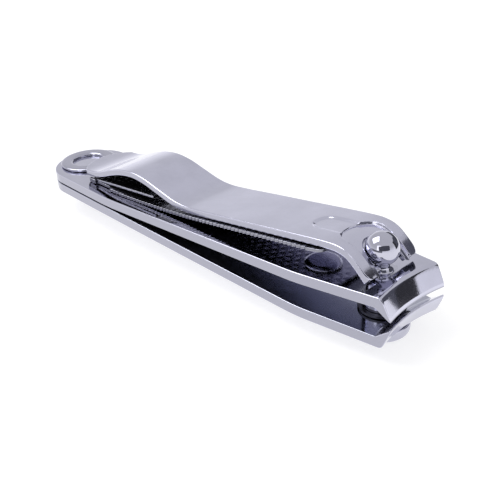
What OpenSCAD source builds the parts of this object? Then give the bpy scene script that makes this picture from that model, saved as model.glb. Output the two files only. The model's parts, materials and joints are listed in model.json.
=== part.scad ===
// Lever nail clipper with a swing-out nail file.
// Two sprung steel leaves are riveted together at the rear by a hollow eyelet
// and end in facing cutting jaws at the front (+X). A pin with a ball head
// passes up through both leaves and carries the wave-shaped lever, which lies
// folded along the body. A thin nail file is riveted under the lever.
// Origin: middle of the length and width, at the underside of the pin foot.

/* [Body] */
// Overall length of the two leaves
body_l = 79.2; // [77:0.2:81]
// Width of the leaves at the widest place
body_w = 15.4; // [14:0.2:17]
// Width of the rounded rear end
rear_w = 14.0; // [13.4:0.2:15]
// Width at the cutting edges
jaw_w = 11.6; // [10:0.2:13]
// Sheet thickness of a leaf
leaf_t = 1.6; // [1.3:0.1:1.7]
// Opening between the cutting edges at rest
jaw_gap = 1.0; // [0.6:0.1:1.4]
// Half the opening between the leaves behind the jaws
leaf_open = 2.1; // [1.9:0.1:2.2]

/* [Pin] */
// Diameter of the pin barrel
barrel_d = 5.2; // [4.4:0.1:5.4]
// Diameter of the ball head
ball_d = 4.6; // [4.2:0.1:4.8]
// Diameter of the neck below the ball
neck_d = 2.0; // [1.6:0.1:2.4]
// Diameter of the foot under the lower leaf
foot_d = 7.6; // [6.6:0.1:8.4]
// Height of the foot
foot_h = 2.0; // [1.4:0.1:2.4]

/* [Eyelet] */
// Key-ring hole through the eyelet
hole_d = 5.6; // [5:0.1:6]
// Outside diameter of the rolled rim
rim_d = 10.2; // [9.8:0.1:10.8]

/* [Lever] */
// Lever width
lever_w = 10.3; // [9.6:0.1:10.8]
// Lever sheet thickness
lever_t = 1.05; // [0.95:0.05:1.1]
// Depth of the pressed ring round the ball
recess_depth = 0.45; // [0.3:0.05:0.5]
// Depth of the pressed channel behind the ring
channel_depth = 0.25; // [0.1:0.05:0.3]

/* [File] */
// File width over the teeth
file_w = 11.6; // [11:0.1:12.4]
// Spacing of the file teeth
tooth_pitch = 0.8; // [0.7:0.05:1.2]
// Depth of the file teeth
tooth_depth = 0.22; // [0.1:0.02:0.3]

/* [View] */
// Sub-part to show

/* [Hidden] */
$fn = 64;
big = 200;

// leaf side profile
foot_gap = 0.1;
mid_z = foot_h + foot_gap + leaf_t + leaf_open; // height of the plane between the leaves
rear_gap = 0.125;                  // half the gap where the leaves lie together
front_x = body_l / 2;              // cutting edges
rear_x = -body_l / 2;
split_x = front_x - 57.6;          // leaves start to part here
waist_x = front_x - 14.4;          // leaves start to narrow here
bend_x = front_x - 1.3;            // outer corner where the jaw turns down
bend_size = 1.1;                   // size of the rounding on that corner
wall_x = front_x - 2.2;            // inner corner behind the jaw
waist_open = leaf_open - 0.28;
jaw_scoop_r = 16;                  // hollow of the cutting edge seen from above
jaw_scoop = 0.7;                   // depth of that hollow at the middle
edge_flat = 0.12;                  // thickness left at the cutting edge
corner_r = 1.2;                    // rounding on the front corners, plan view

// pin
pin_x = front_x - 5.7;
pin_fit = 0.08;                    // running clearance in the lower leaf
leaf_clear = 0.25;                 // clearance in the moving upper leaf
barrel_top = mid_z + leaf_open + leaf_t - 0.05;
ball_z = mid_z + 6.8;
washer_d = 6.5;
washer_t = 0.4;
washer_x = pin_x - washer_d / 2;   // where the washer rests on the sloping leaf
washer_z = mid_z - waist_open - (leaf_open - waist_open) * (washer_x - waist_x) / (wall_x - waist_x);

// eyelet
eye_x = rear_x + 5.6;
rear_c = rear_x + rear_w / 2;      // middle of the rounded rear end
eye_wall = 0.6;
eye_fit = 0.15;
rim_h = 0.5;
rim_gap = 0.12;
top_z = mid_z + rear_gap + leaf_t;
bottom_z = mid_z - rear_gap - leaf_t;
foot_rim_h = 0.7;
foot_rim_d = 9.0;

// lever: [x, height of its top face above the plane between the leaves]
lever_pts = [[-29.6, 3.8], [-25.8, 3.88], [-23, 4.38], [-19.8, 5.5],
             [-16.6, 6.42], [-13.3, 6.85], [-10, 6.58], [-6.7, 5.78], [-3, 4.88],
             [0, 4.66], [3.6, 4.98], [9.9, 5.8], [17.8, 6.8], [23.6, 7.55], [28.2, 8.1],
             [30.6, 8.2], [32.5, 7.72], [34.2, 6.45], [35.8, 4.86]];
lever_steps = 5;                   // divisions of each stretch of the curve
lever_rear_r = 6.2;                // curve of the lever's rear end, plan view
lever_rear_steps = 12;             // divisions of that curve each side of the middle
notch_d = ball_d + 0.3;
notch_mouth = 6.4;                 // width of the notch at the prong tips
ring_x = pin_x - 2.5;              // centre of the pressed ring
ring_d = 6.9;
channel_w = 4.4;
channel_x = 22.5;                  // rear end of the channel

// file: [x, height of its underside above the same plane]
file_pts = [[-25.7, 1.92], [-19.4, 1.92], [-13.4, 2.02], [-7.4, 2.38], [-0.4, 2.93],
            [5.6, 3.62], [11.6, 4.36], [21.6, 5.62], [28.6, 6.45]];
file_t = 0.45;
file_steps = 3;
fold_pts = [[-25.7, 2.1], [-20.4, 2.62], [-14, 3.14], [-7.8, 3.62]];
fold_w = lever_w - 0.2;
fold_t = 0.4;
file_front_r = 2.4;                // corner rounding at the front end
ear_w = 0.5;
ear_l = 1.7;
ear_h = 0.75;
pivot_x = 23.4;
pivot_tilt = 6.9;                  // lever slope at the rivet, degrees
shank_d = 3.0;
shank_fit = 0.06;
seat_skin = 0.25;                  // metal left above the rivet
head_d = 5.4;
head_t = 0.45;
head_gap = 0.42;                   // room for the file between lever and rivet head

// ---- smooth curve through the points (Catmull-Rom) ----
function cr(p0, p1, p2, p3, t) = 0.5 * ((2 * p1) + (p2 - p0) * t
    + (2 * p0 - 5 * p1 + 4 * p2 - p3) * t * t + (3 * p1 - p0 - 3 * p2 + p3) * t * t * t);
function at(p, i) = p[max(0, min(len(p) - 1, i))];
function smooth(p, n) = concat([for (i = [0 : len(p) - 2]) for (k = [0 : n - 1])
    cr(at(p, i - 1), at(p, i), at(p, i + 1), at(p, i + 2), k / n)], [p[len(p) - 1]]);
function unit(v) = v / norm(v);
function down(p, i) = let (d = unit(at(p, i + 1) - at(p, i - 1))) [d[1], -d[0]];
// strip of thickness t hanging below (t > 0) or standing above (t < 0) a curve
function strip(p, t) = concat(p, [for (i = [len(p) - 1 : -1 : 0]) p[i] + t * down(p, i)]);
// rounding of the corner c between the points p and q
function blend(p, c, q, n) = [for (k = [0 : n]) let (t = k / n)
    (1 - t) * (1 - t) * p + 2 * t * (1 - t) * c + t * t * q];

// side profile given in XZ, spread w wide along Y
module slab(w) { translate([0, w / 2, 0]) rotate([90, 0, 0]) linear_extrude(w) children(); }
module upright() { translate([0, 0, -big / 2]) linear_extrude(big) children(); }
module raised() { translate([0, 0, mid_z]) children(); }

// ---- leaves ----
module leaf_plan() {
    waist = [waist_x, body_w / 2];
    tip = [front_x, jaw_w / 2];
    half = concat([for (a = [180 : -5 : 90]) [rear_c + rear_w / 2 * cos(a), rear_w / 2 * sin(a)]],
                  [[split_x, body_w / 2], waist],
                  blend(tip + corner_r * unit(waist - tip), tip, tip - [0, corner_r], 6));
    polygon(concat(half, [for (i = [len(half) - 1 : -1 : 1]) [half[i][0], -half[i][1]]]));
}
module leaf_side() {
    edge = [front_x + edge_flat, jaw_gap / 2 + edge_flat];
    corner = [bend_x, leaf_open + leaf_t];
    waist = [waist_x, waist_open + leaf_t];
    polygon(concat(
        [[rear_x, rear_gap], [split_x, rear_gap], [waist_x, waist_open], [wall_x, leaf_open],
         [front_x, jaw_gap / 2], edge],
        blend(corner + bend_size * unit(edge - corner), corner, corner + bend_size * unit(waist - corner), 6),
        [waist, [split_x, rear_gap + leaf_t], [rear_x, rear_gap + leaf_t]]));
}
module leaf() {
    difference() {
        intersection() {
            slab(body_w + 1) leaf_side();
            upright() leaf_plan();
        }
        translate([front_x + jaw_scoop_r - jaw_scoop, 0, 0])
            cylinder(r = jaw_scoop_r, h = big, center = true, $fn = 160);
    }
}
module lower_leaf() {
    color("silver") difference() {
        translate([0, 0, mid_z]) mirror([0, 0, 1]) leaf();
        translate([pin_x, 0, -1]) cylinder(d = barrel_d + 2 * pin_fit, h = mid_z + 1);
        translate([eye_x, 0, -1]) cylinder(d = hole_d + 2 * eye_wall, h = mid_z + 1);
    }
}
module upper_leaf() {
    color("silver") difference() {
        translate([0, 0, mid_z]) leaf();
        translate([pin_x, 0, mid_z]) cylinder(d = barrel_d + 2 * leaf_clear, h = mid_z + 1);
        translate([eye_x, 0, mid_z - 1]) cylinder(d = hole_d + 2 * (eye_wall + eye_fit), h = mid_z);
    }
}

// ---- hollow rivet with a rolled rim ----
module eyelet() {
    rim_z = top_z + rim_gap;
    in_r = hole_d / 2;
    mid_r = in_r + eye_wall;
    color("gainsboro") translate([eye_x, 0, 0]) rotate_extrude($fn = 96) polygon([
        [in_r, bottom_z - foot_rim_h + 0.2], [in_r + 0.2, bottom_z - foot_rim_h],
        [foot_rim_d / 2 - 0.3, bottom_z - foot_rim_h], [foot_rim_d / 2, bottom_z - foot_rim_h + 0.3],
        [foot_rim_d / 2, bottom_z], [mid_r, bottom_z], [mid_r, rim_z], [rim_d / 2, rim_z],
        [rim_d / 2, rim_z + rim_h - 0.35], [rim_d / 2 - 0.3, rim_z + rim_h - 0.08],
        [rim_d / 2 - 0.8, rim_z + rim_h], [in_r + 0.5, rim_z + rim_h],
        [in_r + 0.12, rim_z + rim_h - 0.15], [in_r, rim_z + rim_h - 0.4]]);
}

// ---- pin: riveted foot, barrel, neck and ball head in one turned piece ----
module pin() {
    color("whitesmoke") translate([pin_x, 0, 0]) {
        rotate_extrude($fn = 96) polygon([
            [0, 0], [foot_d / 2 - 1.2, 0], [foot_d / 2 - 0.5, 0.25], [foot_d / 2 - 0.12, 0.62],
            [foot_d / 2, 1.1], [foot_d / 2, foot_h], [barrel_d / 2, foot_h], [barrel_d / 2, barrel_top - 0.4],
            [barrel_d / 2 - 0.4, barrel_top], [neck_d / 2 + 0.35, barrel_top],
            [neck_d / 2, barrel_top + 0.5], [neck_d / 2, ball_z - 1], [0, ball_z - 1]]);
        translate([0, 0, ball_z]) sphere(d = ball_d, $fn = 96);
    }
}
module pin_washer() {
    color("gray") translate([pin_x, 0, washer_z]) difference() {
        cylinder(d = washer_d, h = washer_t);
        translate([0, 0, -1]) cylinder(d = barrel_d + 2 * pin_fit, h = washer_t + 2);
    }
}

// ---- lever ----
module lever_plan() {
    turn = asin(lever_w / 2 / lever_rear_r) / lever_rear_steps;
    rear = [for (k = [-lever_rear_steps : lever_rear_steps])
        [lever_pts[0][0] + lever_rear_r * (1 - cos(k * turn)), lever_rear_r * sin(k * turn)]];
    polygon(concat([[front_x, -lever_w / 2]], rear, [[front_x, lever_w / 2]]));
}
module notch() {
    translate([pin_x, 0, 0]) cylinder(d = notch_d, h = big, center = true);
    upright() polygon([[pin_x, -notch_d / 2], [pin_x + 0.4, -notch_d / 2], [front_x, -notch_mouth / 2],
                       [front_x, notch_mouth / 2], [pin_x + 0.4, notch_d / 2], [pin_x, notch_d / 2]]);
}
// slot w wide with a round rear end, running forward from x
module slot_plan(x, w, x_end) {
    translate([x + w / 2, 0]) circle(d = w, $fn = 96);
    translate([x + w / 2, -w / 2]) square([x_end - x - w / 2, w]);
}
// space pressed into the top face over the given outline
module pressed(top, depth) {
    intersection() {
        slab(lever_w) polygon(concat([for (i = [0 : len(top) - 1]) top[i] + depth * down(top, i)],
                                     [[front_x, big / 4], [top[0][0], big / 4]]));
        upright() children();
    }
}
module lever() {
    top = smooth(lever_pts, lever_steps);
    color("lightgray") raised() difference() {
        intersection() {
            slab(lever_w + 1) polygon(strip(top, lever_t));
            upright() lever_plan();
        }
        pressed(top, recess_depth) slot_plan(ring_x - ring_d / 2, ring_d, front_x);
        pressed(top, channel_depth) slot_plan(channel_x, channel_w, ring_x);
        notch();
        // blind seat for the rivet, from the underside
        rivet_axis() translate([0, 0, -lever_t - 2]) cylinder(d = shank_d, h = lever_t + 2 - recess_depth - seat_skin);
    }
}

// ---- nail file and its rivet ----
module rivet_axis() {
    translate([pivot_x, 0, lookup(pivot_x, lever_pts)]) rotate([0, -pivot_tilt, 0]) children();
}
module file_plan() {
    half = file_w / 2 - tooth_depth;
    x0 = file_pts[0][0];
    x1 = file_pts[len(file_pts) - 1][0];
    n = floor((x1 - file_front_r - x0 - 6.3) / tooth_pitch);
    teeth = [for (i = [0 : n - 1]) for (k = [0, 1])
        [x0 + 6.3 + (i + k / 2) * tooth_pitch, half + k * tooth_depth]];
    edge = concat([[x0, fold_w / 2 - 1.2], [x0 + 0.6, fold_w / 2], [x0 + 5.4, fold_w / 2]], teeth,
                  [[x1 - file_front_r, half], [x1 - 0.7, half - 0.9], [x1, half - file_front_r]]);
    polygon(concat(edge, [for (i = [len(edge) - 1 : -1 : 0]) [edge[i][0], -edge[i][1]]]));
}
module fold_plan() {
    x0 = fold_pts[0][0];
    x1 = fold_pts[len(fold_pts) - 1][0];
    translate([x0, -fold_w / 2]) square([x1 - x0 + 1, fold_w]);
}
module file() {
    base = smooth(file_pts, file_steps);
    fold = smooth(fold_pts, file_steps);
    color("darkgray") raised() difference() {
        union() {
            intersection() {
                slab(file_w + 1) polygon(strip(base, -file_t));
                upright() file_plan();
            }
            intersection() {
                slab(file_w) polygon(strip(fold, -fold_t));
                upright() fold_plan();
            }
            // rounded turn joining the two layers at the rear
            translate([file_pts[0][0] + 1, 0, file_pts[0][1] + 0.32]) slab(fold_w - 0.4)
                square([2, 0.62], center = true);
            for (s = [-1, 1])
                translate([file_pts[0][0], s > 0 ? fold_w / 2 - 0.1 : -fold_w / 2 + 0.1 - ear_w, file_pts[0][1]])
                    cube([ear_l, ear_w, ear_h]);
        }
        rivet_axis() cylinder(d = shank_d + 2 * shank_fit, h = 10, center = true);
    }
}
module file_rivet() {
    // distances down from the lever's top face along the rivet axis
    file_low = lever_t + head_gap + file_t;
    color("dimgray") raised() rivet_axis() {
        translate([0, 0, -file_low - head_t]) cylinder(d = shank_d, h = file_low + head_t - recess_depth - seat_skin);
        translate([0, 0, -file_low - head_t]) rotate_extrude($fn = 64) polygon([
            [0, 0], [head_d / 2 - 0.5, 0], [head_d / 2, head_t - 0.15], [head_d / 2, head_t], [0, head_t]]);
    }
}

lower_leaf();
upper_leaf();
eyelet();
pin();
pin_washer();
lever();
file();
file_rivet();
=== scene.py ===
"""Looks for the nail clipper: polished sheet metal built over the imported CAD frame.

Lengths of the clipper are millimetres here and are turned into metres as it is built;
the places of the studio boards, lights and floor are metres.
"""
import bpy
import json
import math
import numpy as np
from mathutils import Matrix, Vector
from mathutils.geometry import delaunay_2d_cdt


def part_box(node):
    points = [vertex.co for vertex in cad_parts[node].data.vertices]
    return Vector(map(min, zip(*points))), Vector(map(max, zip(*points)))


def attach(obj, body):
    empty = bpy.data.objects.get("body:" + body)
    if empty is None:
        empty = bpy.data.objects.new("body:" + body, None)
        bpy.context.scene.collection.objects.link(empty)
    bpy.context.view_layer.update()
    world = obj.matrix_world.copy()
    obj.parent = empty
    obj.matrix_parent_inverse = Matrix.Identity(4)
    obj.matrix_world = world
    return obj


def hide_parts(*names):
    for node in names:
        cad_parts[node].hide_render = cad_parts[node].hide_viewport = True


MM = 0.001
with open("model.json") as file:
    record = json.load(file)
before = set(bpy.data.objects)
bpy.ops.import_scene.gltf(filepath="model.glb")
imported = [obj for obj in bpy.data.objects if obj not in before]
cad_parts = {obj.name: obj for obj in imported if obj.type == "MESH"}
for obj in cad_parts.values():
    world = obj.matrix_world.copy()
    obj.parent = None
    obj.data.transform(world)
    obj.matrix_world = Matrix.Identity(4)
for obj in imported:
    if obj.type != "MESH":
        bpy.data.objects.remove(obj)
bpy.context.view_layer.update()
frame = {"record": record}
joints = {j["name"]: [v / MM for v in j["pos_m"]] for j in frame["record"]["behaviour"]["joints"]}


def box_mm(node):
    lo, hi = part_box(node)
    return [v / MM for v in lo], [v / MM for v in hi]


# ---- where things are, from the frame ----
MID_Z = joints["jaw_flex"][2]                 # plane between the leaves
EYE_X = joints["jaw_flex"][0]
PIN_X = joints["lever_lift"][0]
BALL_Z = joints["lever_lift"][2]
PIVOT = joints["file_swing"]
REAR_X, FRONT_X = box_mm("upper_leaf")[0][0], box_mm("upper_leaf")[1][0]
LEVER_X = box_mm("lever")[0][0]
FILE_X = box_mm("file")[0][0]
BODY_W, JAW_W, REAR_W = 15.4, 11.6, 14.0


# ---- curves ----
def catmull(points, n):
    """Smooth curve through the points, n divisions a stretch."""
    p = np.array([points[0]] + list(points) + [points[-1]], float)
    out = []
    for i in range(1, len(p) - 2):
        for k in range(n):
            t = k / n
            a, b, c, d = p[i - 1], p[i], p[i + 1], p[i + 2]
            out.append(0.5 * (2 * b + (c - a) * t + (2 * a - 5 * b + 4 * c - d) * t * t
                              + (3 * b - a - 3 * c + d) * t ** 3))
    return np.array(out + [p[-1]])


def normals_of(path):
    """Unit vectors square to a path, on its left."""
    d = np.gradient(path, axis=0)
    d /= np.linalg.norm(d, axis=1)[:, None]
    return np.stack([-d[:, 1], d[:, 0]], 1)


def rounded(points, sizes, n=6, closed=False):
    """Polyline with each corner rounded; sizes gives how far from the corner each rounding starts."""
    pts = [np.array(p, float) for p in points]
    count, out = len(pts), []
    for i, c in enumerate(pts):
        size = sizes[i] if isinstance(sizes, (list, tuple)) else sizes
        if size <= 0 or (not closed and i in (0, count - 1)):
            out.append(c)
            continue
        a, b = pts[i - 1], pts[(i + 1) % count]
        la, lb = np.linalg.norm(a - c), np.linalg.norm(b - c)
        p = c + (a - c) / la * min(size, la * 0.48)
        q = c + (b - c) / lb * min(size, lb * 0.48)
        for k in range(n + 1):
            t = k / n
            out.append((1 - t) ** 2 * p + 2 * t * (1 - t) * c + t * t * q)
    return np.array(out)


def arc(cx, cy, r, a0, a1, n):
    a = np.radians(np.linspace(a0, a1, n))
    return np.stack([cx + r * np.cos(a), cy + r * np.sin(a)], 1)


def resample(loop, step, closed=True):
    """Outline with no edge longer than step."""
    out = []
    ends = np.roll(loop, -1, axis=0) if closed else loop[1:]
    for a, b in zip(loop, ends):
        length = np.linalg.norm(b - a)
        if length < 1e-6:
            continue
        n = max(1, int(math.ceil(length / step)))
        out += [a + (b - a) * k / n for k in range(n)]
    return np.array(out if closed else out + [loop[-1]])


def area(loop):
    x, y = loop[:, 0], loop[:, 1]
    return 0.5 * np.sum(x * np.roll(y, -1) - np.roll(x, -1) * y)


def outward(loop):
    """Direction out of the metal at each point; outer loops run anticlockwise, holes clockwise."""
    d = np.roll(loop, -1, axis=0) - loop
    d /= np.linalg.norm(d, axis=1)[:, None]
    n = np.stack([d[:, 1], -d[:, 0]], 1)
    m = n + np.roll(n, 1, axis=0)
    m /= np.maximum(np.linalg.norm(m, axis=1), 1e-6)[:, None]
    return m


def inside(points, loops):
    hit = np.zeros(len(points), bool)
    x, y = points[:, 0], points[:, 1]
    for loop in loops:
        for (x0, y0), (x1, y1) in zip(loop, np.roll(loop, -1, axis=0)):
            if y0 != y1:
                crosses = ((y0 > y) != (y1 > y)) & (x < (x1 - x0) * (y - y0) / (y1 - y0) + x0)
                hit ^= crosses
    return hit


# ---- mesh builders ----
SHADED_FACE_TURN = 0.35                          # how far a face must be turned to take the darker metal of painted shade
ROUND_SHARE, ROUND_MIN = 0.45, 0.015          # edge rounding: most of the thickness, and least size
AXIS_R = 0.002                                # keeps a turned piece open at its axis
RIBBON_ROUND = 4                              # divisions of a ribbon's rounded corners
PAPER_ROUGH = 0.8


def make_object(name, verts, faces, normals, painted_edge_light, body, node, slot, mat, inner=None):
    """Turns mesh lists into a riding piece; inner = (side, shaded metal, end) gives the faces turned that
    way, as far forward as end, a darker copy of the metal as painted shade."""
    me = bpy.data.meshes.new(name)
    me.from_pydata([tuple(v * MM for v in p) for p in verts], [], faces)
    me.polygons.foreach_set("use_smooth", [True] * len(me.polygons))
    att = me.attributes.new("painted_edge_light", "FLOAT", "POINT")
    att.data.foreach_set("value", list(painted_edge_light))
    me.update()
    me.normals_split_custom_set_from_vertices([tuple(n) for n in normals])
    me.materials.append(mat)
    if inner:
        side, shade_mat, end = inner
        me.materials.append(shade_mat)
        for face in me.polygons:
            face.material_index = int(face.normal.z * side > SHADED_FACE_TURN and face.center.x < end * MM)
    ob = bpy.data.objects.new(name, me)
    bpy.context.collection.objects.link(ob)
    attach(ob, body)
    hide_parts(node)
    return ob


def slope_normal(height, x, y, sign):
    """Unit normals of the height field, up (sign 1) or down (-1)."""
    e = 0.02
    gx = (height(x + e, y) - height(x - e, y)) / (2 * e)
    gy = (height(x, y + e) - height(x, y - e)) / (2 * e)
    n = np.stack([-gx * sign, -gy * sign, np.full_like(x, sign)], 1)
    return n / np.linalg.norm(n, axis=1)[:, None]


def sheet_mesh(outer, holes, top, bottom, radius, xs, ys, extra=None, step=0.3, steps=4):
    """Sheet metal piece seen from above: rounded edges all round, heights from two functions.

    Its painted edge light is above 0 on the polished roundings, a painted highlight, and down to -1 on the
    sheared walls, a painted shade."""
    loops = []
    for k, loop in enumerate([outer] + list(holes)):
        loop = resample(np.asarray(loop, float), step)
        if (area(loop) > 0) != (k == 0):
            loop = loop[::-1]
        loops.append(loop)
    verts, norms, painted_edge_light, faces = [], [], [], []
    inner, index_top, index_low = [], [], []
    for loop in loops:
        out = outward(loop)
        thick = top(loop[:, 0], loop[:, 1]) - bottom(loop[:, 0], loop[:, 1])
        r = np.clip(thick * ROUND_SHARE, ROUND_MIN, radius)
        m, rings = len(loop), []
        for side, height in ((1, top), (-1, bottom)):
            for k in range(steps + 1):
                phi = math.radians(90) * k / steps
                p = loop - out * (r * (1 - math.cos(phi)))[:, None]
                z = height(p[:, 0], p[:, 1]) - side * r * (1 - math.sin(phi))
                n_face = slope_normal(height, p[:, 0], p[:, 1], side)
                n = np.concatenate([out, np.zeros((m, 1))], 1) * math.cos(phi) + n_face * math.sin(phi)
                rings.append((side, k, len(verts)))
                verts += [(a, b, c) for (a, b), c in zip(p, z)]
                norms += list(n / np.linalg.norm(n, axis=1)[:, None])
                # painted edge light: above 0 is a painted highlight on the roundings, below 0 a painted shade
                # on the walls
                painted_edge_light += [math.sin(2 * phi) - math.cos(phi) ** 2] * m
                last = p
            if side == 1:
                inner.append(last)
                index_top.append(rings[-1][2])
            else:
                index_low.append(rings[-1][2])
        starts = {(s, k): b for s, k, b in rings}
        for i in range(m):
            j = (i + 1) % m
            for k in range(steps):
                a, b = starts[1, k], starts[1, k + 1]
                faces.append((a + i, a + j, b + j, b + i))
                a, b = starts[-1, k], starts[-1, k + 1]
                faces.append((a + j, a + i, b + i, b + j))
            a, b = starts[-1, 0], starts[1, 0]
            faces.append((a + i, a + j, b + j, b + i))
    gx, gy = np.meshgrid(xs, ys)
    pts = np.stack([gx.ravel(), gy.ravel()], 1)
    if extra is not None:
        pts = np.concatenate([pts, extra])
    pts = pts[inside(pts, inner)]
    rim = np.concatenate(inner)
    keep = [np.min(np.sum((rim - p) ** 2, 1)) > (0.4 * step) ** 2 for p in pts]
    pts = pts[np.array(keep, bool)]
    plan = [Vector(p) for p in np.concatenate([rim, pts])]
    edges, at = [], 0
    for loop in inner:
        edges += [(at + i, at + (i + 1) % len(loop)) for i in range(len(loop))]
        at += len(loop)
    flat, _, tris, origin, _, _ = delaunay_2d_cdt(plan, edges, [], 2, 1e-7)
    lookup_top, lookup_low, at = {}, {}, 0
    for loop, t0, b0 in zip(inner, index_top, index_low):
        for i in range(len(loop)):
            lookup_top[at + i], lookup_low[at + i] = t0 + i, b0 + i
        at += len(loop)
    p = np.array([list(v) for v in flat])
    up = slope_normal(top, p[:, 0], p[:, 1], 1)
    down = slope_normal(bottom, p[:, 0], p[:, 1], -1)
    z_top, z_low = top(p[:, 0], p[:, 1]), bottom(p[:, 0], p[:, 1])
    tops, lows = [], []
    for i, ids in enumerate(origin):
        rim_id = next((o for o in ids if o in lookup_top), None)
        if rim_id is not None:
            tops.append(lookup_top[rim_id])
            lows.append(lookup_low[rim_id])
            continue
        for z, n, store in ((z_top[i], up[i], tops), (z_low[i], down[i], lows)):
            store.append(len(verts))
            verts.append((p[i, 0], p[i, 1], z))
            norms.append(n)
            painted_edge_light.append(0.0)
    for t in tris:
        t = list(t) if area(p[list(t)]) > 0 else list(t)[::-1]
        faces.append([tops[i] for i in t])
        faces.append([lows[i] for i in reversed(t)])
    return verts, faces, norms, painted_edge_light


def merge(parts):
    verts, faces, norms, painted_edge_light = [], [], [], []
    for v, f, n, w in parts:
        base = len(verts)
        verts += list(v)
        faces += [[i + base for i in face] for face in f]
        norms += list(n)
        painted_edge_light += list(w)
    return verts, faces, norms, painted_edge_light


def ribbon_mesh(path, width, thick, radius):
    """Strip swept along a path in the XZ plane, with a rounded rectangular section."""
    section = rounded([(-width / 2, -thick / 2), (width / 2, -thick / 2), (width / 2, thick / 2),
                       (-width / 2, thick / 2)], radius, RIBBON_ROUND, closed=True)
    side = outward(section)
    up = normals_of(path)
    verts, norms, faces = [], [], []
    m, count = len(section), len(path)
    for (x, z), (nx, nz) in zip(path, up):
        for (y, h), (oy, oh) in zip(section, side):
            verts.append((x + nx * h, y, z + nz * h))
            norms.append((nx * oh, oy, nz * oh))
    for k in range(count - 1):
        for i in range(m):
            j = (i + 1) % m
            faces.append((k * m + i, k * m + j, (k + 1) * m + j, (k + 1) * m + i))
    for k in (0, count - 1):
        d = path[1] - path[0] if k == 0 else path[-1] - path[-2]
        d = d / np.linalg.norm(d) * (-1 if k == 0 else 1)
        base = len(verts)
        verts += [verts[k * m + i] for i in range(m)]
        norms += [(d[0], 0, d[1])] * m
        ring = list(range(base, base + m))
        faces.append(ring[::-1] if k == 0 else ring)
    return verts, faces, norms, [0.2] * len(verts)


def lathe_mesh(profile, x, sizes=0.15, closed=False, seg=128):
    """Turned piece about a vertical axis at x; profile is (radius, z) and its corners are rounded."""
    loop = rounded(profile, sizes, 5, closed)
    nxt, prv = np.roll(loop, -1, axis=0), np.roll(loop, 1, axis=0)
    if not closed:
        nxt[-1], prv[0] = loop[-1], loop[0]
    d = nxt - prv
    d /= np.maximum(np.linalg.norm(d, axis=1), 1e-9)[:, None]
    n2 = np.stack([d[:, 1], -d[:, 0]], 1)
    verts, norms, faces = [], [], []
    m = len(loop)
    for s in range(seg):
        a = 2 * math.pi * s / seg
        for (r, z), (nr, nz) in zip(loop, n2):
            r = max(r, AXIS_R)
            verts.append((x + r * math.cos(a), r * math.sin(a), z))
            norms.append((nr * math.cos(a), nr * math.sin(a), nz))
    for s in range(seg):
        t = (s + 1) % seg
        for i in range(m if closed else m - 1):
            j = (i + 1) % m
            faces.append((s * m + i, t * m + i, t * m + j, s * m + j))
    return verts, faces, norms, [0.0] * len(verts)


# ---- procedural metal ----
class Nodes:
    """Short helper for building a node tree."""

    def __init__(self, tree):
        self.tree = tree

    def add(self, kind, inputs=None, **props):
        node = self.tree.nodes.new(kind)
        for key, value in props.items():
            setattr(node, key, value)
        for key, value in (inputs or {}).items():
            if isinstance(value, bpy.types.NodeSocket):
                self.tree.links.new(value, node.inputs[key])
            else:
                node.inputs[key].default_value = value
        return node

    def noise(self, where, scale, stretch=(1, 1, 1), detail=3.0):
        mapped = self.add("ShaderNodeMapping", {"Vector": where, "Scale": stretch})
        return self.add("ShaderNodeTexNoise", {"Vector": mapped.outputs[0], "Scale": scale,
                                               "Detail": detail, "Roughness": 0.55}).outputs["Fac"]

    def ramp(self, value, lo, hi, to_lo, to_hi):
        return self.add("ShaderNodeMapRange", {"Value": value, "From Min": lo, "From Max": hi,
                                               "To Min": to_lo, "To Max": to_hi}).outputs[0]


WALL_SHADE = 0.62                                # painted shade: a side wall takes this share of the plated colour


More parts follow.
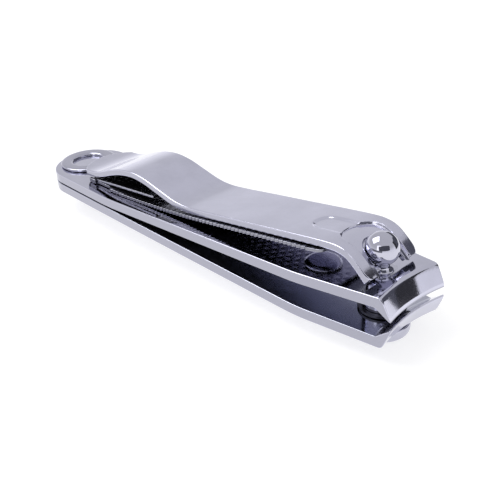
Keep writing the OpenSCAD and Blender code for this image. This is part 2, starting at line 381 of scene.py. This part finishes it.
def metal(name, colour, rough, scratch=0.05, cut=0.0):
    """Plated steel: cloudy polish, fine lengthwise scratches, paler rounded edges as painted highlight,
    darker walls as painted shade, optional file cuts.
    """
    mat = bpy.data.materials.new(name)
    mat.use_nodes = True
    t = Nodes(mat.node_tree)
    shader = mat.node_tree.nodes["Principled BSDF"]
    where = t.add("ShaderNodeTexCoord").outputs["Object"]
    cloud = t.noise(where, 160.0, detail=4.0)
    speck = t.noise(where, 2600.0, detail=2.0)
    lines = t.noise(where, 420.0, stretch=(1.0, 26.0, 26.0), detail=5.0)
    painted_edge_light = t.add("ShaderNodeAttribute", attribute_name="painted_edge_light").outputs["Fac"]
    dark = [c * 0.88 for c in colour]
    edge_highlight = [min(1.0, c * 1.12) for c in colour]
    tint = t.add("ShaderNodeMix", {0: t.ramp(cloud, 0.3, 0.7, 0.0, 1.0)}, data_type="RGBA")
    tint.inputs[6].default_value, tint.inputs[7].default_value = (*dark, 1), (*colour, 1)
    # painted highlight: the rounded edges are mixed towards a paler colour
    edge = t.add("ShaderNodeMix", {0: t.ramp(painted_edge_light, 0.2, 1.0, 0.0, 0.8), 6: tint.outputs[2]}, data_type="RGBA")
    edge.inputs[7].default_value = (*edge_highlight, 1)
    # painted shade: the side walls are mixed towards a darker colour
    wall_shade = t.add("ShaderNodeMix", {0: t.ramp(painted_edge_light, -0.1, -1.0, 0.0, 1.0), 6: edge.outputs[2]},
                 data_type="RGBA")
    wall_shade.inputs[7].default_value = (*[c * WALL_SHADE for c in colour], 1)
    t.tree.links.new(wall_shade.outputs[2], shader.inputs["Base Color"])
    smudge = t.ramp(cloud, 0.35, 0.75, rough, rough + 0.07)
    both = t.add("ShaderNodeMath", {0: smudge, 1: t.ramp(speck, 0.62, 0.75, 0.0, 0.06)}, operation="ADD")
    t.tree.links.new(both.outputs[0], shader.inputs["Roughness"])
    bump = t.add("ShaderNodeBump", {"Height": lines, "Strength": scratch, "Distance": 0.00002})
    if cut > 0:
        rows = []
        for angle in (0.6, -0.6):
            turn = t.add("ShaderNodeMapping", {"Vector": where, "Rotation": (0, 0, angle)})
            rows.append(t.add("ShaderNodeTexWave", {"Vector": turn.outputs[0], "Scale": 260.0,
                                                    "Distortion": 0.3}).outputs["Fac"])
        cross = t.add("ShaderNodeMath", {0: rows[0], 1: rows[1]}, operation="MAXIMUM")
        bump = t.add("ShaderNodeBump", {"Height": cross.outputs[0], "Strength": cut, "Distance": 0.00008,
                                        "Normal": bump.outputs[0]})
    t.tree.links.new(bump.outputs[0], shader.inputs["Normal"])
    shader.inputs["Metallic"].default_value = 1.0
    return mat


leaf_metal = metal("leaf_plate", (0.64, 0.64, 0.755), 0.05)
lever_metal = metal("lever_plate", (0.66, 0.66, 0.785), 0.08)
# painted shade: darker copies of the plated metal for the faces between the leaves and under the lever
inner_shade_metal = metal("inner_plate_painted_shade", (0.50, 0.51, 0.60), 0.14)
under_shade_metal = metal("under_plate_painted_shade", (0.13, 0.135, 0.16), 0.16)
pin_metal = metal("pin_plate", (0.60, 0.60, 0.70), 0.04, scratch=0.03)
rivet_metal = metal("rivet_plate", (0.52, 0.52, 0.62), 0.10)
file_metal = metal("file_steel_cut", (0.42, 0.42, 0.49), 0.18, scratch=0.1, cut=0.5)
washer_metal = metal("washer_dark", (0.10, 0.10, 0.12), 0.3, scratch=0.1)


# ---- leaves ----
LEAF_T, JAW_GAP, LEAF_OPEN = 1.6, 1.0, 2.1
REAR_GAP, EDGE_FLAT = 0.125, 0.12
SPLIT_X, WAIST_X = FRONT_X - 57.6, FRONT_X - 14.4
WALL_X, BEND_X = FRONT_X - 2.2, FRONT_X - 1.3
WAIST_OPEN = LEAF_OPEN - 0.28
SCOOP = 0.7                                   # depth of the hollow edge, which runs out at the corners
SCOOP_R = ((JAW_W / 2) ** 2 + SCOOP ** 2) / (2 * SCOOP)
FADE = 8.0                                    # length over which the set-back of the jaw faces grows
BARREL_D, PIN_FIT, LEAF_CLEAR = 5.2, 0.08, 0.25
HOLE_D, EYE_WALL, EYE_FIT = 5.6, 0.6, 0.15

over = rounded([(REAR_X - 1, REAR_GAP + LEAF_T), (SPLIT_X, REAR_GAP + LEAF_T),
                (WAIST_X, WAIST_OPEN + LEAF_T), (BEND_X, LEAF_OPEN + LEAF_T),
                (FRONT_X + EDGE_FLAT, JAW_GAP / 2 + EDGE_FLAT), (FRONT_X + 1, JAW_GAP / 2 + 0.1)],
               [0, 2.5, 2.5, 0.5, 0, 0], 12)
under = rounded([(REAR_X - 1, REAR_GAP), (SPLIT_X, REAR_GAP), (WAIST_X, WAIST_OPEN),
                 (WALL_X, LEAF_OPEN), (FRONT_X, JAW_GAP / 2), (FRONT_X + 1, JAW_GAP / 2)],
                [0, 2.5, 2.5, 0.3, 0, 0], 12)


def along(path, sign=1.0, lift=0.0):
    return lambda x, y: lift + sign * np.interp(x, path[:, 0], path[:, 1])


def edge_x(y):
    """Where the hollow cutting edge lies, seen from above."""
    return np.minimum(FRONT_X, FRONT_X + SCOOP_R - SCOOP - np.sqrt(SCOOP_R ** 2 - y ** 2))


def jaw_face(path, sign):
    """Leaf face whose slanted front keeps its slope but is set back along the hollow edge."""
    def height(x, y):
        back = (FRONT_X - edge_x(y)) * np.clip((x - WAIST_X) / FADE, 0, 1)
        return MID_Z + sign * np.interp(x + back, path[:, 0], path[:, 1])
    return height


def leaf_outline():
    rear_c = REAR_X + REAR_W / 2
    half = rounded([(rear_c, -REAR_W / 2), (SPLIT_X, -BODY_W / 2), (WAIST_X, -BODY_W / 2),
                    (FRONT_X, -JAW_W / 2), (FRONT_X, 0.0)], [0, 3.0, 2.0, 0.35, 0], 8)
    half = resample(half, 0.3, closed=False)
    side = half[half[:, 1] < -4.7]
    side[:, 0] = np.minimum(side[:, 0], edge_x(side[:, 1]))
    ys = np.linspace(side[-1, 1], -side[-1, 1], 44)[1:-1]
    front = np.stack([edge_x(ys), ys], 1)
    rear = arc(rear_c, 0, REAR_W / 2, 90, 270, 60)[1:-1]
    return np.concatenate([side, front, side[::-1] * [1, -1], rear])


def circle(x, d, n=96):
    return arc(x, 0, d / 2, 0, 360 * (n - 1) / n, n)


leaf_xs = np.concatenate([np.arange(REAR_X + 0.3, BEND_X - 1.6, 0.7), np.arange(BEND_X - 1.5, FRONT_X, 0.08)])
leaf_ys = np.arange(-7.4, 7.5, 0.6)


def build_leaf(name, sign, pin_d, eye_d, body):
    hi = jaw_face(over if sign > 0 else under, sign)
    lo = jaw_face(under if sign > 0 else over, sign)
    mesh = sheet_mesh(leaf_outline(), [circle(PIN_X, pin_d), circle(EYE_X, eye_d)], hi, lo, 0.16,
                      leaf_xs, leaf_ys)
    # the faces between the leaves take the darker metal as painted shade
    return make_object(name + "_sheet", *mesh, body, name, "plated_leaf", leaf_metal,
                       (-sign, inner_shade_metal, WALL_X + 0.1))


build_leaf("lower_leaf", -1, BARREL_D + 2 * PIN_FIT, HOLE_D + 2 * EYE_WALL, "lower_body")
build_leaf("upper_leaf", 1, BARREL_D + 2 * LEAF_CLEAR, HOLE_D + 2 * (EYE_WALL + EYE_FIT), "upper_jaw")


# ---- lever ----
LEVER_W, LEVER_T, REAR_R = 10.3, 1.05, 6.2
RECESS, CHANNEL_DEPTH = 0.45, 0.25
LEVER_PTS = [(-29.6, 3.8), (-25.8, 3.88), (-23.0, 4.38), (-19.8, 5.5), (-16.6, 6.42),
             (-13.3, 6.85), (-10.0, 6.58), (-6.7, 5.78), (-3.0, 4.88), (0.0, 4.66), (3.6, 4.98),
             (9.9, 5.8), (17.8, 6.8), (23.6, 7.55), (28.2, 8.1), (30.6, 8.2), (32.5, 7.72),
             (34.2, 6.45), (35.8, 4.86)]
NOTCH_D, NOTCH_MOUTH = 4.9, 6.4
RING_X, RING_D = PIN_X - 2.5, 6.9
CHANNEL_X, CHANNEL_W = 22.5, 4.4
CHANNEL_C = CHANNEL_X + CHANNEL_W / 2
RING_WALL, CHANNEL_WALL = 0.22, 0.7           # how wide the pressed walls are, seen from above

lever_top = catmull(LEVER_PTS, 16)
lever_low = lever_top - normals_of(lever_top) * LEVER_T
lever_low = np.concatenate([lever_low, lever_top[-1:]])


def ease(t):
    t = np.clip(t, 0, 1)
    return t * t * (3 - 2 * t)


def keyhole_depth(x, y):
    """Depth of the pressed keyhole: a crisp ring round the ball and a shallow, soft channel."""
    ring = RING_D / 2 - np.hypot(np.minimum(x - RING_X, 0), y)
    channel = CHANNEL_W / 2 - np.hypot(np.minimum(x - CHANNEL_C, 0), y)
    return np.maximum(RECESS * ease(ring / RING_WALL), CHANNEL_DEPTH * ease(channel / CHANNEL_WALL))


def lever_face(x, y):
    return MID_Z + np.interp(x, lever_top[:, 0], lever_top[:, 1]) - keyhole_depth(x, y)


def lever_under(x, y):
    return np.minimum(MID_Z + np.interp(x, lever_low[:, 0], lever_low[:, 1]), lever_face(x, y) - 0.02)


def lever_outline():
    tip, half = lever_top[-1, 0], LEVER_W / 2
    reach = math.degrees(math.asin(half / REAR_R))
    mouth = NOTCH_D / 2 + (NOTCH_MOUTH - NOTCH_D) / 2 * (tip - PIN_X - 0.4) / (FRONT_X - PIN_X - 0.4)
    rear = arc(LEVER_X + REAR_R, 0, REAR_R, 180 - reach, 180 + reach, 60)
    near = rounded([tuple(rear[-1]), (tip, -half), (tip, -mouth), (PIN_X + 0.4, -NOTCH_D / 2)],
                   [0, 1.0, 0.5, 0], 8)
    back = arc(PIN_X, 0, NOTCH_D / 2, 270, 90, 50)
    return np.concatenate([near, back, near[::-1] * [1, -1], rear[1:-1]])


def slot_points(x, r, x_end):
    """Points along a slot's wall: its round rear end and both straight sides."""
    ahead = np.stack([np.linspace(x, x_end, 40)[1:], np.full(39, r)], 1)
    return [arc(x, 0, r, 90, 270, 60), ahead, ahead * [1, -1]]


def keyhole_points():
    """Extra points that follow the walls of the pressed keyhole."""
    pts = []
    for part in (-0.4, 0.0, 0.25, 0.5, 0.75, 1.0, 1.4):
        pts += slot_points(RING_X, RING_D / 2 - part * RING_WALL, 35.4)
    for part in (-0.2, 0.0, 0.25, 0.5, 0.75, 1.0):
        pts += slot_points(CHANNEL_C, CHANNEL_W / 2 - part * CHANNEL_WALL, RING_X - 2.4)
    return np.concatenate(pts)


lever_xs = np.concatenate([np.arange(LEVER_X + 0.3, 21.5, 0.5), np.arange(21.5, 35.7, 0.28)])
lever_mesh = sheet_mesh(lever_outline(), [], lever_face, lever_under, 0.2, lever_xs,
                        np.arange(-5.0, 5.01, 0.4), keyhole_points(), step=0.22)
# the lever's underside takes the darker metal as painted shade
make_object("lever_sheet", *lever_mesh, "lever_body", "lever", "plated_lever", lever_metal,
            (-1, under_shade_metal, FRONT_X))


# ---- nail file: toothed strip, folded-back second layer and two ears ----
FILE_W, FILE_T, FOLD_T = 11.6, 0.45, 0.4
TOOTH_PITCH, TOOTH_DEPTH, TOOTH_START = 0.8, 0.22, 6.3
FILE_PTS = [(-25.7, 1.92), (-19.4, 1.92), (-13.4, 2.02), (-7.4, 2.38), (-0.4, 2.93), (5.6, 3.62),
            (11.6, 4.36), (21.6, 5.62), (28.6, 6.45)]
FOLD_PTS = [(-25.7, 2.1), (-20.4, 2.62), (-14.0, 3.14), (-7.8, 3.62)]
FOLD_W, FILE_FRONT = LEVER_W - 0.2, 2.4
EAR_L, EAR_W, EAR_H = 1.7, 0.5, 0.75
SHANK_D, SHANK_FIT, HEAD_D, HEAD_T = 3.0, 0.06, 5.4, 0.45
HEAD_DROP = LEVER_T + 0.42 + FILE_T
PIVOT_TILT = math.radians(6.9)

file_low = catmull(FILE_PTS, 8)
file_top = file_low + normals_of(file_low) * FILE_T


def file_outline():
    half, x0, x1 = FILE_W / 2 - TOOTH_DEPTH, FILE_PTS[0][0], FILE_PTS[-1][0]
    n = int((x1 - FILE_FRONT - x0 - TOOTH_START) / TOOTH_PITCH)
    edge = [(x0, FOLD_W / 2 - 1.2), (x0 + 0.6, FOLD_W / 2), (x0 + 5.4, FOLD_W / 2)]
    for i in range(n):
        x = x0 + TOOTH_START + i * TOOTH_PITCH
        edge += [(x, half), (x + TOOTH_PITCH * 0.5, half + TOOTH_DEPTH)]
    front = rounded([(x1 - FILE_FRONT, half), (x1, half), (x1, 0)], [0, 2.2, 0], 8)[1:-1]
    edge = np.concatenate([np.array(edge), front])
    return np.concatenate([edge[::-1], edge * [1, -1]])[::-1]


def rivet_hole():
    d = SHANK_D + 2 * SHANK_FIT
    return circle(PIVOT[0] + (PIVOT[2] - MID_Z - 5.9) * math.sin(PIVOT_TILT), d, 48)


strip = sheet_mesh(file_outline(), [rivet_hole()], along(file_top, 1, MID_Z), along(file_low, 1, MID_Z),
                   0.07, np.arange(FILE_X + 0.4, 28.4, 0.6), np.arange(-5.4, 5.5, 0.6), step=0.25, steps=3)
fold_mid = catmull(FOLD_PTS, 8) + [0, MID_Z + FOLD_T / 2]
turn_r = (fold_mid[0, 1] - (MID_Z + FILE_PTS[0][1] + FILE_T / 2)) / 2 + 0.12
turn = arc(FILE_X + 0.5, fold_mid[0, 1] - turn_r + 0.05, turn_r, 90, 270, 14)
fold = ribbon_mesh(np.concatenate([fold_mid[::-1][:-3], turn]), FOLD_W, FOLD_T, 0.14)
parts = [strip, fold]
for side in (1, -1):
    y = side * (FOLD_W / 2 - 0.1 + EAR_W / 2)
    rect = rounded([(FILE_X, y - EAR_W / 2), (FILE_X + EAR_L, y - EAR_W / 2), (FILE_X + EAR_L, y + EAR_W / 2),
                    (FILE_X, y + EAR_W / 2)], 0.14, 4, closed=True)
    base = MID_Z + FILE_PTS[0][1]
    parts.append(sheet_mesh(rect, [], lambda x, y: base + EAR_H + 0 * x, lambda x, y: base + 0 * x, 0.1,
                            np.arange(FILE_X, FILE_X + EAR_L, 0.2), np.arange(y - 0.2, y + 0.21, 0.15),
                            step=0.12))
make_object("file_strip", *merge(parts), "file_body", "file", "file_steel", file_metal)


# ---- turned pieces ----
def place_tilted(mesh, origin, tilt):
    """Moves a turned mesh made about z to an origin, leaning back by tilt."""
    v, f, n, w = mesh
    c, s = math.cos(tilt), math.sin(tilt)
    turn = lambda p: (p[0] * c - p[2] * s, p[1], p[0] * s + p[2] * c)
    return [tuple(np.add(turn(p), origin)) for p in v], f, [turn(p) for p in n], w


FOOT_D, FOOT_H, NECK_D, BALL_D = 7.6, 2.0, 2.0, 4.6
barrel_top = MID_Z + LEAF_OPEN + LEAF_T - 0.05
ball = arc(0, BALL_Z, BALL_D / 2, -64, 90, 40)
stem = rounded([(0, 0), (FOOT_D / 2 - 1.2, 0), (FOOT_D / 2 - 0.5, 0.25), (FOOT_D / 2 - 0.12, 0.62),
                (FOOT_D / 2, 1.1), (FOOT_D / 2, FOOT_H), (BARREL_D / 2, FOOT_H),
                (BARREL_D / 2, barrel_top - 0.4), (BARREL_D / 2 - 0.4, barrel_top),
                (NECK_D / 2 + 0.35, barrel_top), (NECK_D / 2, barrel_top + 0.5), tuple(ball[0])],
               [0, 0.35, 0.35, 0.3, 0.3, 0.2, 0.1, 0.2, 0.2, 0.2, 0.3, 0], 6)
pin_profile = np.concatenate([stem, ball[1:]])
pin_mesh = lathe_mesh(pin_profile, PIN_X, 0)
make_object("pin_turned", *pin_mesh, "pin_body", "pin", "plated_pin", pin_metal)

wash_lo, wash_hi = box_mm("pin_washer")
ring = [(BARREL_D / 2 + PIN_FIT, wash_lo[2]), (6.5 / 2, wash_lo[2]), (6.5 / 2, wash_hi[2]),
        (BARREL_D / 2 + PIN_FIT, wash_hi[2])]
make_object("washer_ring", *lathe_mesh(ring, PIN_X, 0.08, True), "lower_body", "pin_washer", "dark_steel",
            washer_metal)

eye_lo, eye_hi = box_mm("eyelet")
RIM_D, FOOT_RIM_D, RIM_H, FOOT_RIM_H = 10.2, 9.0, 0.5, 0.7
in_r, mid_r = HOLE_D / 2, HOLE_D / 2 + EYE_WALL
eye_ring = [(in_r, eye_lo[2]), (FOOT_RIM_D / 2, eye_lo[2]), (FOOT_RIM_D / 2, eye_lo[2] + FOOT_RIM_H),
            (mid_r, eye_lo[2] + FOOT_RIM_H), (mid_r, eye_hi[2] - RIM_H), (RIM_D / 2, eye_hi[2] - RIM_H),
            (RIM_D / 2, eye_hi[2]), (in_r, eye_hi[2])]
eye_mesh = lathe_mesh(eye_ring, EYE_X, [0.35, 0.35, 0.1, 0.1, 0.1, 0.15, 0.62, 0.62], True)
make_object("eyelet_ring", *eye_mesh, "lower_body", "eyelet", "plated_rivet", rivet_metal)

low, high = -HEAD_DROP - HEAD_T, -RECESS - 0.25
rivet = [(0, low), (HEAD_D / 2 - 0.5, low), (HEAD_D / 2, low + 0.3), (HEAD_D / 2, low + HEAD_T),
         (SHANK_D / 2, low + HEAD_T), (SHANK_D / 2, high), (0, high)]
rivet_mesh = place_tilted(lathe_mesh(rivet, 0, [0, 0.3, 0.15, 0.08, 0.1, 0.1, 0], seg=96), PIVOT, PIVOT_TILT)
make_object("file_rivet_turned", *rivet_mesh, "lever_body", "file_rivet", "plated_rivet", rivet_metal)


# ---- floor, light and camera ----
def plain(name, colour, glow=0.0):
    """Studio paper: near flat, with a faint fibre variation."""
    mat = bpy.data.materials.new(name)
    mat.use_nodes = True
    t = Nodes(mat.node_tree)
    shader = mat.node_tree.nodes["Principled BSDF"]
    where = t.add("ShaderNodeTexCoord").outputs["Object"]
    fibre = t.noise(where, 900.0, detail=3.0)
    mix = t.add("ShaderNodeMix", {0: fibre}, data_type="RGBA")
    mix.inputs[6].default_value = (*[c * 0.97 for c in colour], 1)
    mix.inputs[7].default_value = (*colour, 1)
    t.tree.links.new(mix.outputs[2], shader.inputs["Base Color"])
    shader.inputs["Roughness"].default_value = PAPER_ROUGH
    shader.inputs["Emission Color"].default_value = (1, 1, 1, 1)
    shader.inputs["Emission Strength"].default_value = glow
    return mat


def card(name, centre, size, facing, mat, seen=False):
    """A flat studio board; it shows in the metal's reflections only, unless seen."""
    w, h = size[0] / 2, size[1] / 2
    me = bpy.data.meshes.new(name)
    me.from_pydata([(-w, -h, 0), (w, -h, 0), (w, h, 0), (-w, h, 0)], [], [(0, 1, 2, 3)])
    me.materials.append(mat)
    ob = bpy.data.objects.new(name, me)
    bpy.context.collection.objects.link(ob)
    ob.location = centre
    ob.rotation_euler = Vector(facing).to_track_quat("Z", "Y").to_euler()
    ob.visible_camera = seen
    ob.visible_shadow = seen
    ob.visible_diffuse = seen
    return ob


def soft_light(name, centre, size, power):
    lamp = bpy.data.lights.new(name, "AREA")
    lamp.shape, lamp.size, lamp.size_y, lamp.energy = "RECTANGLE", size[0], size[1], power
    ob = bpy.data.objects.new(name, lamp)
    bpy.context.collection.objects.link(ob)
    ob.location = centre
    ob.rotation_euler = (-Vector(centre)).to_track_quat("-Z", "Y").to_euler()


card("floor", (0, 0, -0.0002), (3.0, 3.0), (0, 0, 1), plain("paper", (0.45, 0.45, 0.45), 0.65), True)
black = plain("black_board", (0.012, 0.012, 0.015))
grey = plain("grey_board", (0.2, 0.2, 0.22))
slate = plain("slate_board", (0.06, 0.062, 0.078))

world = bpy.data.worlds.new("studio")
bpy.context.scene.world = world
world.use_nodes = True
sky = Nodes(world.node_tree)
coords = sky.add("ShaderNodeTexCoord").outputs["Generated"]
height = sky.add("ShaderNodeSeparateXYZ", {"Vector": coords}).outputs["Z"]
fade = sky.add("ShaderNodeMix", {0: sky.ramp(height, 0.02, 0.35, 0.0, 1.0)}, data_type="RGBA")
fade.inputs[6].default_value = (1.05, 1.05, 1.09, 1)
fade.inputs[7].default_value = (0.69, 0.69, 0.71, 1)
back = world.node_tree.nodes["Background"]
world.node_tree.links.new(fade.outputs[2], back.inputs["Color"])
back.inputs["Strength"].default_value = 1.0

soft_light("key", (-0.25, -0.15, 0.45), (0.35, 0.35), 1.2)
soft_light("fill", (0.2, -0.45, 0.25), (0.4, 0.3), 0.4)
card("front_black", (0.123, 0.090, 0.046), (0.031, 0.10), (-0.685, -0.728, 0), black)
card("front_slate", (0.083, 0.115, 0.046), (0.066, 0.10), (-0.358, -0.934, 0), slate)
card("camera_side", (0.242, -0.173, 0.141), (0.42, 0.18), (-0.695, 0.576, -0.43), slate)
card("near_grey", (0.0, -0.30, 0.03), (0.5, 0.07), (0, 1, 0), grey)
card("far_slate", (0.05, 0.30, 0.07), (0.35, 0.16), (0, -1, 0), slate)

TARGET = Vector((-0.4, 0.0, 7.8)) * MM        # the camera follows the photograph's viewing angle
AZIMUTH, ELEVATION, ROLL = math.radians(-39.64), math.radians(25.45), math.radians(-5.20)
DISTANCE, LENS = 133.77 * MM, 60.4
SHIFT = (0.0839, -0.0814)


def make_camera():
    ca, sa, ce, se = math.cos(AZIMUTH), math.sin(AZIMUTH), math.cos(ELEVATION), math.sin(ELEVATION)
    towards = Vector((ca * ce, sa * ce, se))
    right = Vector((-sa, ca, 0))
    up = towards.cross(right)
    side = math.cos(ROLL) * right + math.sin(ROLL) * up
    top = -math.sin(ROLL) * right + math.cos(ROLL) * up
    eye = TARGET + towards * DISTANCE
    data = bpy.data.cameras.new("camera")
    ob = bpy.data.objects.new("camera", data)
    bpy.context.collection.objects.link(ob)
    ob.matrix_world = Matrix([(side[i], top[i], towards[i], eye[i]) for i in range(3)] + [(0, 0, 0, 1)])
    data.sensor_width, data.lens = 36.0, LENS
    data.shift_x, data.shift_y = SHIFT
    data.clip_start = 0.001
    bpy.context.scene.camera = ob


make_camera()
bpy.context.scene.view_settings.view_transform = "Standard"
